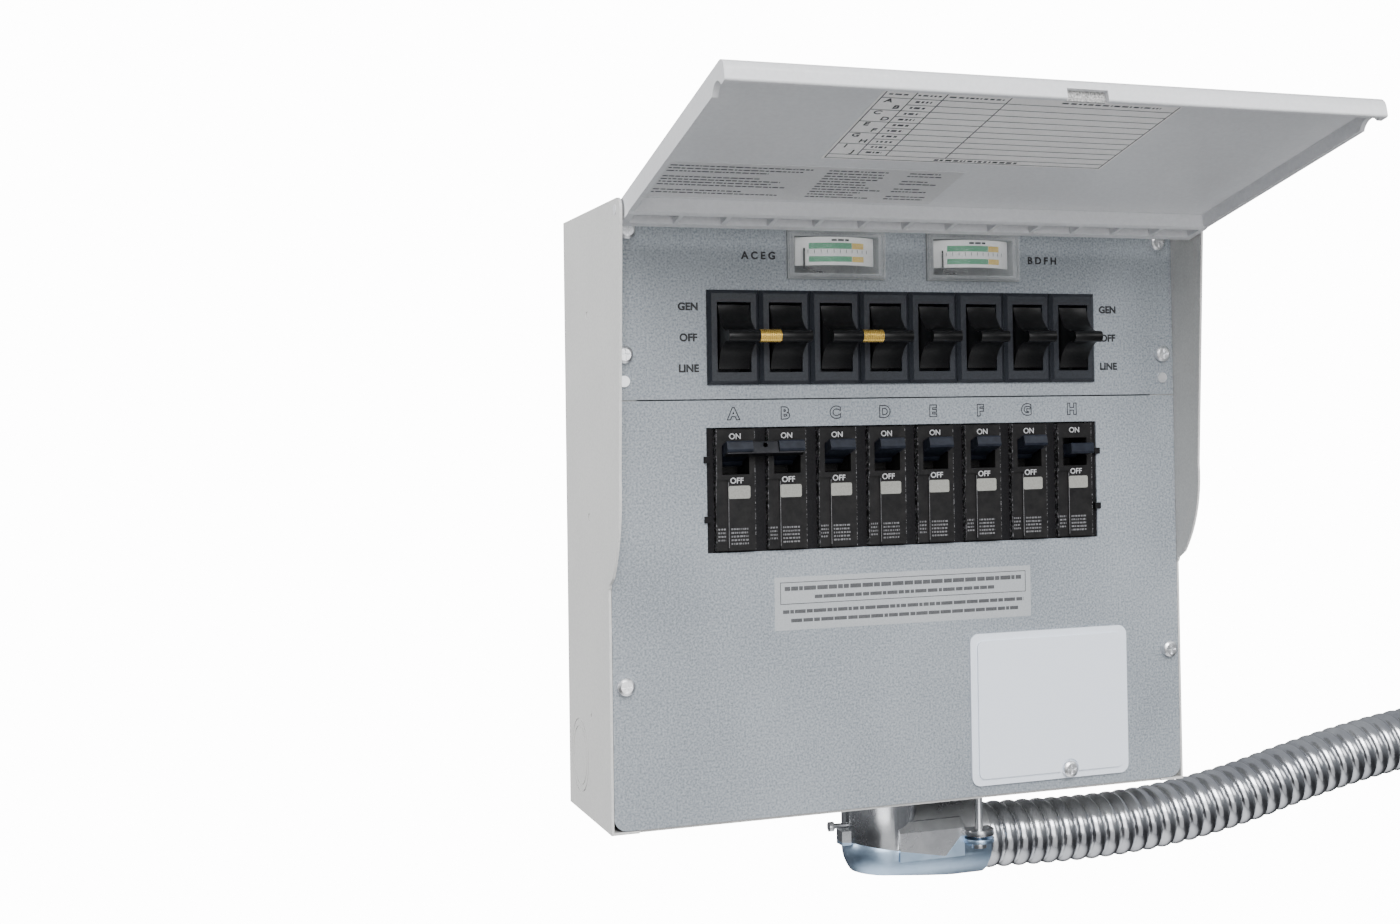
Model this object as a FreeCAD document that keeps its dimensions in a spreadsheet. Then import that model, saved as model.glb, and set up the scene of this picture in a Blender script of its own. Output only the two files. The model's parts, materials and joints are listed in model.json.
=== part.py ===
import FreeCAD, Part
import Sketcher
import math
import os

# A wall-mounted manual transfer switch: a sheet-steel enclosure with a lift-up lid, eight rocker
# transfer switches, eight branch breakers, two edgewise meters and a flexible conduit whip.
# Millimetres. The origin is the centre of the back (wall) face; +X is to the right of someone
# facing the box, +Y runs into the wall and +Z is up, so the front faces -Y.

doc = FreeCAD.newDocument("transfer_switch")
sheet = doc.addObject("Spreadsheet::Sheet", "dims")

DIMENSIONS = {
    "box_wide": 298.5,
    "box_tall": 287.0,
    "box_deep": 86.0,
    "gauge": 1.2,
    "lip_wide": 14.5,
    "cheek_top_reach": 29.8,
    "cheek_mid_reach": 22.2,
    "cheek_end_reach": 7.7,
    "cheek_mid_height": 18.5,
    "cheek_end_height": -26.5,
    "roof_reach": 16.0,
    "pitch": 25.4,
    "seam_height": 53.5,
    "window_wide": 204.5,
    "window_top": 40.5,
    "window_bottom": -17.8,
    "cover_bottom": -142.0,
    "hinge_reach": 21.0,
    "hinge_height": 138.4,
    "lid_open_angle": 12.7,
    "lid_half_wide": 147.2,
    "lid_long": 163.0,
    "lid_top": 3.7,
    "lid_skin": 3.2,
    "lid_rim": -6.0,
    "lid_wall": 2.5,
    "lid_heel": 3.0,
    "lid_bar": 15.5,
    "trunnion_radius": 2.3,
    "switch_height": 82.55,
    "frame_half_wide": 12.6,
    "frame_half_tall": 22.15,
    "frame_proud": 3.0,
    "rocker_half_wide": 7.6,
    "rocker_half_tall": 14.9,
    "rocker_pivot_depth": 2.8,
    "rocker_reach": 23.0,
    "recess_half_wide": 8.2,
    "recess_half_tall": 16.4,
    "nose_half_wide": 9.5,
    "nose_top": 39.7,
    "nose_bottom": -16.8,
    "nose_proud": 2.5,
    "breaker_half_wide": 12.4,
    "handle_height": 25.5,
    "handle_pivot_depth": 10.0,
    "handle_reach": 21.0,
    "handle_half_wide": 6.3,
    "handle_half_thick": 2.6,
    "handle_on_angle": 18.0,
    "handle_mid_angle": 5.0,
    "meter_height": 122.0,
    "meter_offset": 36.6,
    "meter_half_wide": 24.9,
    "meter_half_tall": 11.6,
    "meter_pivot_depth": 24.0,
    "meter_sweep_radius": 31.0,
    "plate_left": 30.0,
    "plate_right": 116.8,
    "plate_top": -62.9,
    "plate_bottom": -137.1,
    "connector_across": -2.0,
    "connector_depth": 43.0,
    "connector_height": -170.5,
    "connector_radius": 19.0,
    "connector_end": 51.5,
    "conduit_radius": 16.75,
    "conduit_bore": 13.5,
    "conduit_start": 36.0,
    "thread_radius": 16.6,
    "mount_spacing": 230.0,
    "mount_radius": 3.2,
}

for row, (alias, number) in enumerate(DIMENSIONS.items(), start=1):
    sheet.set(f"A{row}", alias)
    sheet.set(f"B{row}", str(number))
    sheet.setAlias(f"B{row}", alias)
doc.recompute()


class Size:
    """A length from the sheet: its value now, and the expression that keeps it bound."""

    def __init__(self, value, text):
        self.value = value
        self.text = text

    def __add__(self, other):
        other = sized(other)
        return Size(self.value + other.value, f"({self.text} + {other.text})")

    def __neg__(self):
        return Size(-self.value, f"(0 - {self.text})")

    def __sub__(self, other):
        other = sized(other)
        return Size(self.value - other.value, f"({self.text} - {other.text})")

    def __rsub__(self, other):
        return sized(other) - self

    def __mul__(self, factor):
        return Size(self.value * factor, f"({self.text} * {factor})")

    def __truediv__(self, divisor):
        return Size(self.value / divisor, f"({self.text} / {divisor})")

    __radd__ = __add__
    __rmul__ = __mul__


def sized(item):
    """The item as a Size; a plain number is a Size that is bound to nothing."""
    if isinstance(item, Size):
        return item
    return Size(float(item), f"({float(item)})")


def cell(alias):
    """The Size of one cell of the sheet."""
    return Size(float(sheet.get(alias)), f"dims.{alias}")


def bind(feature, place, item):
    """Bind one property of a feature to a size."""
    feature.setExpression(place, sized(item).text)


def between(centre, half):
    """The span that reaches half to each side of centre."""
    return sized(centre) - half, sized(centre) + half


# --- Building blocks -------------------------------------------------------------------------

TURNS = {
    "x": FreeCAD.Rotation(FreeCAD.Vector(0, 1, 0), 90),
    "y": FreeCAD.Rotation(FreeCAD.Vector(1, 0, 0), -90),
    "z": FreeCAD.Rotation(),
}
PLANES = {"x": "YZ_Plane", "y": "XZ_Plane", "z": "XY_Plane"}


def block(*spans):
    """A box from its spans along X, Y and Z."""
    feature = doc.addObject("Part::Box", "Block")
    for side, axis, (low, high) in zip(("Length", "Width", "Height"), "xyz", spans):
        bind(feature, side, sized(high) - low)
        bind(feature, "Placement.Base." + axis, low)
    return feature


def rod(axis, span, centre, radius):
    """A cylinder along an axis; centre holds its other two coordinates in X, Y, Z order."""
    feature = doc.addObject("Part::Cylinder", "Rod")
    bind(feature, "Radius", radius)
    bind(feature, "Height", sized(span[1]) - span[0])
    feature.Placement.Rotation = TURNS[axis]
    places = list(centre)
    places.insert("xyz".index(axis), span[0])
    for name, place in zip("xyz", places):
        bind(feature, "Placement.Base." + name, place)
    return feature


def bevel_block(half_wide, half_tall, bevel, back, front, height):
    """A plate centred on X = 0 whose four front edges slope inwards by bevel."""
    feature = doc.addObject("Part::Wedge", "Bevel")
    bind(feature, "Xmin", bevel - half_wide)
    bind(feature, "Xmax", half_wide - bevel)
    bind(feature, "Zmin", height - half_tall + bevel)
    bind(feature, "Zmax", height + half_tall - bevel)
    bind(feature, "Ymin", front)
    bind(feature, "Ymax", back)
    bind(feature, "X2min", -half_wide)
    bind(feature, "X2max", half_wide)
    bind(feature, "Z2min", height - half_tall)
    bind(feature, "Z2max", height + half_tall)
    return feature


def join(*features):
    """Several features as one shape."""
    if len(features) == 1:
        return features[0]
    feature = doc.addObject("Part::MultiFuse", "Join")
    feature.Shapes = list(features)
    feature.Refine = True
    return feature


def cut(base, *tools):
    """The base less every tool."""
    feature = doc.addObject("Part::Cut", "Cut")
    feature.Base = base
    feature.Tool = join(*tools)
    feature.Refine = True
    return feature


def common(base, tool):
    """What two features share."""
    feature = doc.addObject("Part::Common", "Common")
    feature.Base = base
    feature.Tool = tool
    return feature


def group(*features):
    """Separate solids kept in one node."""
    feature = doc.addObject("Part::Compound", "Group")
    feature.Links = list(features)
    return feature


def arc_geometry(start, end, radius):
    """The short arc between two points, counter-clockwise when the radius is positive."""
    chord = end - start
    height = math.sqrt(max(radius * radius - chord.Length ** 2 / 4, 0.0))
    side = FreeCAD.Vector(-chord.y, chord.x, 0).normalize()
    centre = (start + end) / 2 + side * math.copysign(height, radius)
    first, last = (start, end) if radius > 0 else (end, start)
    angles = [math.atan2(point.y - centre.y, point.x - centre.x) for point in (first, last)]
    if angles[1] < angles[0]:
        angles[1] += 2 * math.pi
    circle = Part.Circle(centre, FreeCAD.Vector(0, 0, 1), abs(radius))
    return Part.ArcOfCircle(circle, *angles)


def prism(axis, span, corners):
    """A padded sketch across an axis.

    Each corner is (first, second), in the two other axes in X, Y, Z order. A third value is the
    radius of the arc that leads to the corner: positive turns left, negative turns right.
    """
    body = doc.addObject("PartDesign::Body", "Prism")
    plane = next(item for item in body.Origin.OriginFeatures if item.Role == PLANES[axis])
    sketch = body.newObject("Sketcher::SketchObject", "Outline")
    sketch.AttachmentSupport = [(plane, "")]
    sketch.MapMode = "FlatFace"
    points = [FreeCAD.Vector(sized(c[0]).value, sized(c[1]).value, 0) for c in corners]
    ends = []
    for index, corner in enumerate(corners):
        start, end = points[index - 1], points[index]
        radius = sized(corner[2]).value if len(corner) > 2 else 0.0
        if radius:
            sketch.addGeometry(arc_geometry(start, end, radius))
        else:
            sketch.addGeometry(Part.LineSegment(start, end))
        ends.append((1, 2) if radius >= 0 else (2, 1))
    for index, corner in enumerate(corners):
        follower = (index + 1) % len(corners)
        here = (index, ends[index][1])
        there = (follower, ends[follower][0])
        sketch.addConstraint(Sketcher.Constraint("Coincident", *here, *there))
        for name, kind, place in (("first", "DistanceX", 0), ("second", "DistanceY", 1)):
            size = sized(corner[place])
            row = sketch.addConstraint(Sketcher.Constraint(kind, -1, 1, *here, size.value))
            sketch.renameConstraint(row, f"{name}{index}")
            sketch.setExpression(f"Constraints.{name}{index}", size.text)
        if len(corner) > 2:
            size = sized(corner[2])
            row = sketch.addConstraint(Sketcher.Constraint("Radius", index, abs(size.value)))
            sketch.renameConstraint(row, f"radius{index}")
            sketch.setExpression(f"Constraints.radius{index}", f"abs({size.text})")
    pad = body.newObject("PartDesign::Pad", "Pad")
    pad.Profile = sketch
    bind(pad, "Length", sized(span[1]) - span[0])
    # The pad leaves the XZ plane towards -Y, so there the body sits at the far end of the span.
    bind(body, "Placement.Base." + axis, span[1] if axis == "y" else span[0])
    return body


NODES = []


def node(name, feature, base=(0, 0, 0), turn=0.0):
    """Name a finished sub-part and place it; turn is in degrees about +X.

    The feature is a boolean, a group or a body of its own, whose placement is still free.
    """
    feature.Label = name
    feature.Placement.Rotation = FreeCAD.Rotation(FreeCAD.Vector(1, 0, 0), turn)
    for axis, place in zip("xyz", base):
        bind(feature, "Placement.Base." + axis, place)
    NODES.append(feature)


# --- Places shared by several sub-parts ------------------------------------------------------

BOX_WIDE = cell("box_wide") / 2
BOX_TALL = cell("box_tall") / 2
GAUGE = cell("gauge")
PITCH = cell("pitch")
FACE = -cell("box_deep")
COVER_BACK = FACE + GAUGE
LIP_BACK = COVER_BACK + GAUGE
COVER_WIDE = BOX_WIDE - GAUGE - 0.2
SEAM = cell("seam_height")
LETTERS = "abcdefgh"
SIDES = (-1, 1)
# Each screw as (X, Z): two rows on the switch panel, one on the breaker cover.
PANEL_SCREWS = ((141.0, 74.5), (139.0, 131.5))
COVER_SCREW = (142.0, -76.5)
RIVET = (141.0, 62.3)
PLATE_SCREW = (82.9, -132.4)
SCREW_RADIUS = 1.95
SCREW_HEAD = 4.0
RIVET_RADIUS = 1.5
KNOCKOUT_DEPTH = 23.8
KNOCKOUT_HEIGHT = -117.0


def ranks():
    """Each letter of the row of eight with its place along X."""
    for index, letter in enumerate(LETTERS):
        yield letter, PITCH * (index - 3.5)


# --- Enclosure -------------------------------------------------------------------------------


def side_plate(side):
    """One side wall with the cheek that stands forward of the face beside the lid."""
    top = FACE - cell("cheek_top_reach")
    middle = FACE - cell("cheek_mid_reach")
    end = FACE - cell("cheek_end_reach")
    end_height = cell("cheek_end_height")
    corners = [
        (0, -BOX_TALL),
        (FACE, -BOX_TALL),
        (FACE, end_height - 6),
        (FACE - 1.5, end_height - 3.5, -4),
        (end, end_height),
        (middle, cell("cheek_mid_height"), -60),
        (top, BOX_TALL - 6),
        (top + 6, BOX_TALL, -6),
        (0, BOX_TALL),
    ]
    low = BOX_WIDE - GAUGE if side > 0 else -BOX_WIDE
    return prism("x", (low, low + GAUGE), corners)


def ring_groove(axis, span, centre, radius):
    """The stamped ring of a knockout: a thin groove round a disc."""
    return cut(rod(axis, span, centre, radius + 0.35), rod(axis, span, centre, radius - 0.35))


def knockouts():
    """Stamped rings in both side walls and in the bottom, beside the connector's own hole."""
    groove = 0.35
    tools = []
    for side in SIDES:
        span = (BOX_WIDE - groove, BOX_WIDE + 1) if side > 0 else (-BOX_WIDE - 1, -BOX_WIDE + groove)
        for radius in (14.1, 17.45):
            tools.append(ring_groove("x", span, (-KNOCKOUT_DEPTH, KNOCKOUT_HEIGHT), radius))
        for height in (-95.1, -0.8, 94.5):
            tools.append(rod("x", span, (-49.0, height), 1.9))
    for across in (-95.0, 95.0):
        span = (-BOX_TALL - 1, -BOX_TALL + groove)
        tools.append(ring_groove("z", span, (across, -cell("connector_depth")), 14.1))
    return tools


def enclosure():
    """The steel box: back, roof, floor, side walls and the lips that the covers lie on."""
    inner_wide = BOX_WIDE - GAUGE
    inner_tall = BOX_TALL - GAUGE
    across = (-inner_wide, inner_wide)
    tab = BOX_WIDE - 13
    walls = [
        block(across, (-GAUGE, 0), (-BOX_TALL, BOX_TALL)),
        block(across, (FACE - cell("roof_reach"), -GAUGE), (inner_tall, BOX_TALL)),
        block(across, (COVER_BACK + 0.6, -GAUGE), (-BOX_TALL, -inner_tall)),
        block((-inner_wide, -tab), (FACE, COVER_BACK + 0.6), (-BOX_TALL, -inner_tall)),
        block((tab, inner_wide), (FACE, COVER_BACK + 0.6), (-BOX_TALL, -inner_tall)),
    ]
    holes = []
    for side in SIDES:
        walls.append(side_plate(side))
        outer, inner = inner_wide, BOX_WIDE - cell("lip_wide")
        span = (inner, outer) if side > 0 else (-outer, -inner)
        walls.append(block(span, (COVER_BACK, LIP_BACK), (-inner_tall + 14, inner_tall - 0.1)))
        for place in (*PANEL_SCREWS, COVER_SCREW):
            holes.append(rod("y", (COVER_BACK - 1, LIP_BACK + 1), (side * place[0], place[1]), 2.0))
        holes.append(rod("y", (COVER_BACK - 1, LIP_BACK + 1), (side * RIVET[0], RIVET[1]), 1.6))
        hinge = (FACE - cell("hinge_reach"), cell("hinge_height"))
        wall = (inner_wide - 1, BOX_WIDE + 1) if side > 0 else (-BOX_WIDE - 1, -inner_wide + 1)
        holes.append(rod("x", wall, hinge, cell("trunnion_radius") + 0.05))
        for up in SIDES:
            spacing = cell("mount_spacing") / 2
            place = (spacing * side, spacing * up)
            holes.append(rod("y", (-GAUGE - 1, 1), place, cell("mount_radius")))
    entry = (cell("connector_across"), -cell("connector_depth"))
    holes.append(rod("z", (-BOX_TALL - 1, -inner_tall + 1), entry, cell("thread_radius") + 0.6))
    node("enclosure", cut(join(*walls), *holes, *knockouts()))


# --- Covers ----------------------------------------------------------------------------------


def meter_places():
    """The left and the right meter with their places along X."""
    return (("left", -cell("meter_offset")), ("right", cell("meter_offset") - 1.4))


def switch_panel():
    """The upper cover, with cutouts for the row of switches and for both meters."""
    depth = (FACE, COVER_BACK)
    through = (FACE - 1, COVER_BACK + 1)
    plate = block((-COVER_WIDE, COVER_WIDE), depth, (SEAM + 0.3, BOX_TALL - GAUGE - 0.3))
    row = PITCH * 4 - 0.3
    holes = [block((-row, row), through, between(cell("switch_height"), 19.2))]
    for _, across in meter_places():
        span = between(across, cell("meter_half_wide") - 1.8)
        holes.append(block(span, through, between(cell("meter_height"), 9.8)))
    for side in SIDES:
        for place in PANEL_SCREWS:
            holes.append(rod("y", through, (side * place[0], place[1]), 2.2))
        holes.append(rod("y", through, (side * RIVET[0], RIVET[1]), 1.6))
    node("switch_panel", cut(plate, *holes))


def breaker_cover():
    """The lower cover, with the breaker window and the opening behind the inlet plate."""
    depth = (FACE, COVER_BACK)
    through = (FACE - 1, COVER_BACK + 1)
    low = cell("cover_bottom")
    corner = 6
    outline = [
        (-COVER_WIDE, low + corner),
        (-COVER_WIDE + corner, low, corner),
        (COVER_WIDE - corner, low),
        (COVER_WIDE, low + corner, corner),
        (COVER_WIDE, SEAM - 0.3),
        (-COVER_WIDE, SEAM - 0.3),
    ]
    plate = prism("y", depth, outline)
    window = cell("window_wide") / 2
    inlet_x = (cell("plate_left") + 8.4, cell("plate_right") - 8.4)
    inlet_z = (cell("plate_bottom") + 9, cell("plate_top") - 8)
    holes = [
        block((-window, window), through, (cell("window_bottom"), cell("window_top"))),
        block(inlet_x, through, inlet_z),
        rod("y", through, PLATE_SCREW, 2.2),
    ]
    for side in SIDES:
        holes.append(rod("y", through, (side * COVER_SCREW[0], COVER_SCREW[1]), 2.2))
    node("breaker_cover", cut(plate, *holes))


def rounded_plate(span, across, up, corner):
    """A plate across Y with round corners."""
    (left, right), (low, high) = across, up
    outline = [
        (left, low + corner),
        (left + corner, low, corner),
        (right - corner, low),
        (right, low + corner, corner),
        (right, high - corner),
        (right - corner, high, corner),
        (left + corner, high),
        (left, high - corner, corner),
    ]
    return prism("y", span, outline)


def inlet_cover_plate():
    """The blank plate over the power inlet opening, with a raised field."""
    across = (cell("plate_left"), cell("plate_right"))
    up = (cell("plate_bottom"), cell("plate_top"))
    inset = 3.5
    field_across = (across[0] + inset, across[1] - inset)
    field_up = (up[0] + inset, up[1] - inset)
    base = rounded_plate((FACE - 1.4, FACE), across, up, 4.5)
    field = rounded_plate((FACE - 2.6, FACE - 1.4), field_across, field_up, 3.0)
    hole = rod("y", (FACE - 4, FACE + 1), PLATE_SCREW, 2.2)
    recess = rod("y", (FACE - 4, FACE - 1.4), PLATE_SCREW, 5.0)
    node("inlet_cover_plate", cut(join(base, field), hole, recess))


def screw(place, seat):
    """A pan-head cover screw with a cross slot, its head on the plane Y = seat."""
    head = rod("y", (seat - 2.6, seat), place, SCREW_HEAD)
    dome = doc.addObject("Part::Cone", "Dome")
    bind(dome, "Radius1", SCREW_HEAD)
    bind(dome, "Radius2", SCREW_HEAD - 1.2)
    bind(dome, "Height", 0.8)
    dome.Placement.Rotation = FreeCAD.Rotation(FreeCAD.Vector(1, 0, 0), 90)
    for axis, value in zip("xyz", (place[0], seat - 2.6, place[1])):
        bind(dome, "Placement.Base." + axis, value)
    shank = rod("y", (seat, seat + 7), place, SCREW_RADIUS)
    wide, narrow = 2.5, 0.5
    depth = (seat - 4, seat - 2.0)
    slots = [
        block(between(place[0], wide), depth, between(place[1], narrow)),
        block(between(place[0], narrow), depth, between(place[1], wide)),
    ]
    return cut(join(head, dome, shank), *slots)


def fasteners():
    """The cover screws and the two snap rivets at the foot of the switch panel."""
    screws = [screw(PLATE_SCREW, FACE - 1.4)]
    rivets = []
    for side in SIDES:
        for place in (*PANEL_SCREWS, COVER_SCREW):
            screws.append(screw((side * place[0], place[1]), FACE))
        place = (side * RIVET[0], RIVET[1])
        head = rod("y", (FACE - 1.3, FACE), place, 2.6)
        rivets.append(join(head, rod("y", (FACE, FACE + 4.5), place, RIVET_RADIUS)))
    node("cover_screws", group(*screws))
    node("snap_rivets", group(*rivets))


# --- Lid -------------------------------------------------------------------------------------

# The lid is drawn level, reaching to -Y from its hinge axis at the origin, then raised by its
# opening angle.
HINGE = (0, FACE - cell("hinge_reach"), cell("hinge_height"))
LID_TURN = -cell("lid_open_angle").value
LID_INSIDE = cell("lid_top") - cell("lid_skin")


def lid():
    """A shallow moulded tray with a pocketed hinge bar, a rolled lip and a finger notch."""
    half = cell("lid_half_wide")
    tip = -cell("lid_long")
    rim = cell("lid_rim")
    wall = cell("lid_wall")
    bar = -cell("lid_bar")
    top = cell("lid_top")
    heel = cell("lid_heel")
    outline = [
        (heel, rim - 0.5),
        (heel, top - 3),
        (heel - 3, top, 3),
        (tip + 5, top),
        (tip, top - 5, 5),
        (tip, rim + 1),
        (tip + 1, rim, 1),
        (bar, rim),
        (bar + 2, rim - 0.5),
    ]
    shell = prism("x", (-half, half), outline)
    inner = half - wall
    tray = block((-inner, inner), (tip + wall, bar), (rim - 1, LID_INSIDE))
    pockets = []
    count = 13
    width = inner * 2 / count
    for index in range(count):
        low = width * index - inner
        pockets.append(block((low + 1, low + width - 1), (bar + 3, -1.5), (rim - 1, -1.0)))
    notch = block((-6.0, 12.4), (tip - 1, tip + wall + 0.1), (rim - 1, rim + 4.5))
    scoop = rod("x", (-half - 1, half + 1), (tip + 11, rim - 3.5), 7)
    pins = [
        rod("x", (half - 0.5, BOX_WIDE + 0.3), (0, 0), cell("trunnion_radius")),
        rod("x", (-BOX_WIDE - 0.3, -half + 0.5), (0, 0), cell("trunnion_radius")),
    ]
    node("lid", join(cut(shell, tray, *pockets, notch, scoop), *pins), HINGE, LID_TURN)


def lid_labels():
    """The printed circuit directory and rating sheet on the inside of the lid."""
    depth = (LID_INSIDE - 0.2, LID_INSIDE)
    directory = block((-77.0, 57.0), (-149.2, -71.9), depth)
    rating = block((-141.8, -5.0), (-61.5, -18.5), depth)
    node("lid_directory_label", group(directory), HINGE, LID_TURN)
    node("lid_rating_label", group(rating), HINGE, LID_TURN)


# --- Transfer switches -----------------------------------------------------------------------

ROCKER_AXIS = (FACE + cell("rocker_pivot_depth"), cell("switch_height"))
ROCKER_PIN = 2.0
RUNNING_GAP = 0.05


def switch_body(letter, across):
    """One three-position switch: bevelled front frame, housing and a recess for the rocker."""
    wide = cell("frame_half_wide")
    tall = cell("frame_half_tall")
    height = cell("switch_height")
    front = FACE - cell("frame_proud")
    step = front + 1.7
    flange = block((-wide, wide), (step, FACE), between(height, tall))
    bevel = bevel_block(wide, tall, 1.7, step, front, height)
    housing = block((-12.1, 12.1), (FACE, FACE + 41), between(height, 19.0))
    recess_wide = cell("recess_half_wide")
    recess_span = between(height, cell("recess_half_tall"))
    recess = block((-recess_wide, recess_wide), (front - 1, FACE + 14.8), recess_span)
    bearing = rod("x", (-11.2, 11.2), ROCKER_AXIS, ROCKER_PIN + RUNNING_GAP)
    tabs = []
    for offset in (-12.0, 0.0, 12.0):
        tabs.append(block((-3.2, 3.2), (FACE + 41, FACE + 49), between(height + offset, 0.4)))
    body = cut(join(flange, bevel, housing, *tabs), recess, bearing)
    node(f"switch_body_{letter}", body, (across, 0, 0))


def rocker(letter, across):
    """A rocker whose two hollow flanks rise to a beaded ridge; it turns on its own pin."""
    tall = cell("rocker_half_tall")
    reach = cell("rocker_reach")
    bead, neck, flank = 2.79, 2.2, 15
    outline = [
        (-5.5, -tall),
        (4.5 - reach, -neck, flank),
        (-reach, 0, -bead),
        (4.5 - reach, neck, -bead),
        (-5.5, tall, flank),
        (-2, tall),
        (7, 6),
        (7, -6),
        (-2, -tall),
    ]
    wide = cell("rocker_half_wide")
    lever = prism("x", (-wide, wide), outline)
    pin = rod("x", (-10.9, 10.9), (0, 0), ROCKER_PIN)
    node(f"rocker_{letter}", join(lever, pin), (across, *ROCKER_AXIS))


def rocker_tie(pair, across):
    """The brass sleeve that joins the ridges of two neighbouring rockers."""
    half = PITCH / 2 - cell("rocker_half_wide")
    sleeve = rod("x", (-half, half), (3.0 - cell("rocker_reach"), 0), 3.1)
    node(f"rocker_tie_{pair}", group(sleeve), (across, *ROCKER_AXIS))


def transfer_switches():
    """The row of eight switches, of which the first two pairs are tied."""
    for letter, across in ranks():
        switch_body(letter, across)
        rocker(letter, across)
    rocker_tie("ab", PITCH * -3)
    rocker_tie("cd", PITCH * -1)


# --- Branch breakers -------------------------------------------------------------------------

NOSE_FRONT = FACE - cell("nose_proud")
HANDLE_AXIS = (FACE + cell("handle_pivot_depth"), cell("handle_height"))
HANDLE_PIN = 1.5
BREAKER_BACK = FACE + 64.5


def breaker(letter, across):
    """One breaker: a nose that fills its part of the window, on a wider moulded case."""
    half = cell("nose_half_wide")
    nose_up = (cell("nose_bottom"), cell("nose_top"))
    nose = block((-half, half), (NOSE_FRONT, FACE + 10), nose_up)
    case_half = cell("breaker_half_wide")
    case = block((-case_half, case_half), (FACE + 10, BREAKER_BACK), (-30, 44))
    height = cell("handle_height")
    throat = cell("handle_half_wide") + 0.3
    tools = [
        block((-throat, throat), (NOSE_FRONT - 1, FACE + 16), between(height, 7.0)),
        rod("x", (-8.9, 8.9), HANDLE_AXIS, HANDLE_PIN + RUNNING_GAP),
        block((-half - 1, -3.8), (NOSE_FRONT - 1, NOSE_FRONT + 1), (nose_up[0] - 1, 16)),
    ]
    node(f"breaker_{letter}", cut(join(nose, case), *tools), (across, 0, 0))


def handle_turn(letter):
    """How far a handle is raised: on, or halfway for the last breaker."""
    angle = cell("handle_mid_angle") if letter == "h" else cell("handle_on_angle")
    return -angle.value


def breaker_handle(letter, across):
    """A toggle: a hub on a pin, an arm through the nose and a grip in front of it."""
    wide = cell("handle_half_wide")
    thick = cell("handle_half_thick")
    reach = cell("handle_reach")
    hub = rod("x", (-wide, wide), (0, 0), 3.4)
    pin = rod("x", (-8.6, 8.6), (0, 0), HANDLE_PIN)
    arm = block((-wide, wide), (-14.0, 0), (-2.0, 2.0))
    grip_outline = [
        (-13.3, -thick),
        (-13.3, thick),
        (0.5 - reach, thick),
        (-reach, thick - 0.7),
        (-reach, 0.9 - thick),
        (0.8 - reach, -thick),
    ]
    grip = prism("x", (-wide, wide), grip_outline)
    shape = join(hub, pin, arm, grip)
    node(f"breaker_handle_{letter}", shape, (across, *HANDLE_AXIS), handle_turn(letter))


def breaker_tie(across):
    """The pressed clip that joins the first two handles: a strip below them and a web between."""
    thick = cell("handle_half_thick")
    gap = PITCH / 2 - cell("handle_half_wide")
    depth = (-19.8, -14.8)
    strip = block((-19.0, 19.0), depth, (-thick - 0.8, -thick))
    web = block((-gap, gap), depth, (-thick, thick - 0.2))
    hole = rod("y", (-21, -13), (0, 0.6), 1.0)
    shape = cut(join(strip, web), hole)
    node("breaker_tie_ab", shape, (across, *HANDLE_AXIS), handle_turn("a"))


def breaker_shroud():
    """The black insulating mask behind the window, clipped over its side edges."""
    depth = (COVER_BACK, COVER_BACK + 1.8)
    plate = block((-106.0, 106.0), depth, (-21.0, 43.5))
    openings = []
    for _, across in ranks():
        span = between(across, cell("nose_half_wide") + 0.3)
        up = (cell("nose_bottom") - 0.3, cell("nose_top") + 0.3)
        openings.append(block(span, (FACE - 1, COVER_BACK + 3), up))
    edge = cell("window_wide") / 2
    clips = []
    for side in SIDES:
        for height in (25.6, -2.1):
            neck = (edge - 1.6, edge - 0.1) if side > 0 else (-edge + 0.1, -edge + 1.6)
            hook = (edge - 1.6, edge + 1.5) if side > 0 else (-edge - 1.5, -edge + 1.6)
            up = between(height, 1.5)
            clips.append(block(neck, (FACE - 0.1, COVER_BACK), up))
            clips.append(block(hook, (FACE - 1.4, FACE - 0.1), up))
    node("breaker_shroud", join(cut(plate, *openings), *clips))


def breaker_rail():
    """The hat-shaped steel rail that carries the breakers off the back wall."""
    half = 106.0
    plate = block((-half, half), (BREAKER_BACK, BREAKER_BACK + 1.5), (-8, 28))
    legs = []
    for side in SIDES:
        leg = (half - 1.5, half) if side > 0 else (-half, -half + 1.5)
        foot = (half - 1.5, half + 10) if side > 0 else (-half - 10, -half + 1.5)
        legs.append(block(leg, (BREAKER_BACK + 1.5, -GAUGE), (-8, 28)))
        legs.append(block(foot, (-GAUGE - 1.5, -GAUGE), (-8, 28)))
    node("breaker_rail", join(plate, *legs))


def branch_breakers():
    """The row of eight breakers with their handles, mask and rail."""
    for letter, across in ranks():
        breaker(letter, across)
        breaker_handle(letter, across)
    breaker_tie(PITCH * -3)
    breaker_shroud()
    breaker_rail()


# --- Meters ----------------------------------------------------------------------------------


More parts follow.
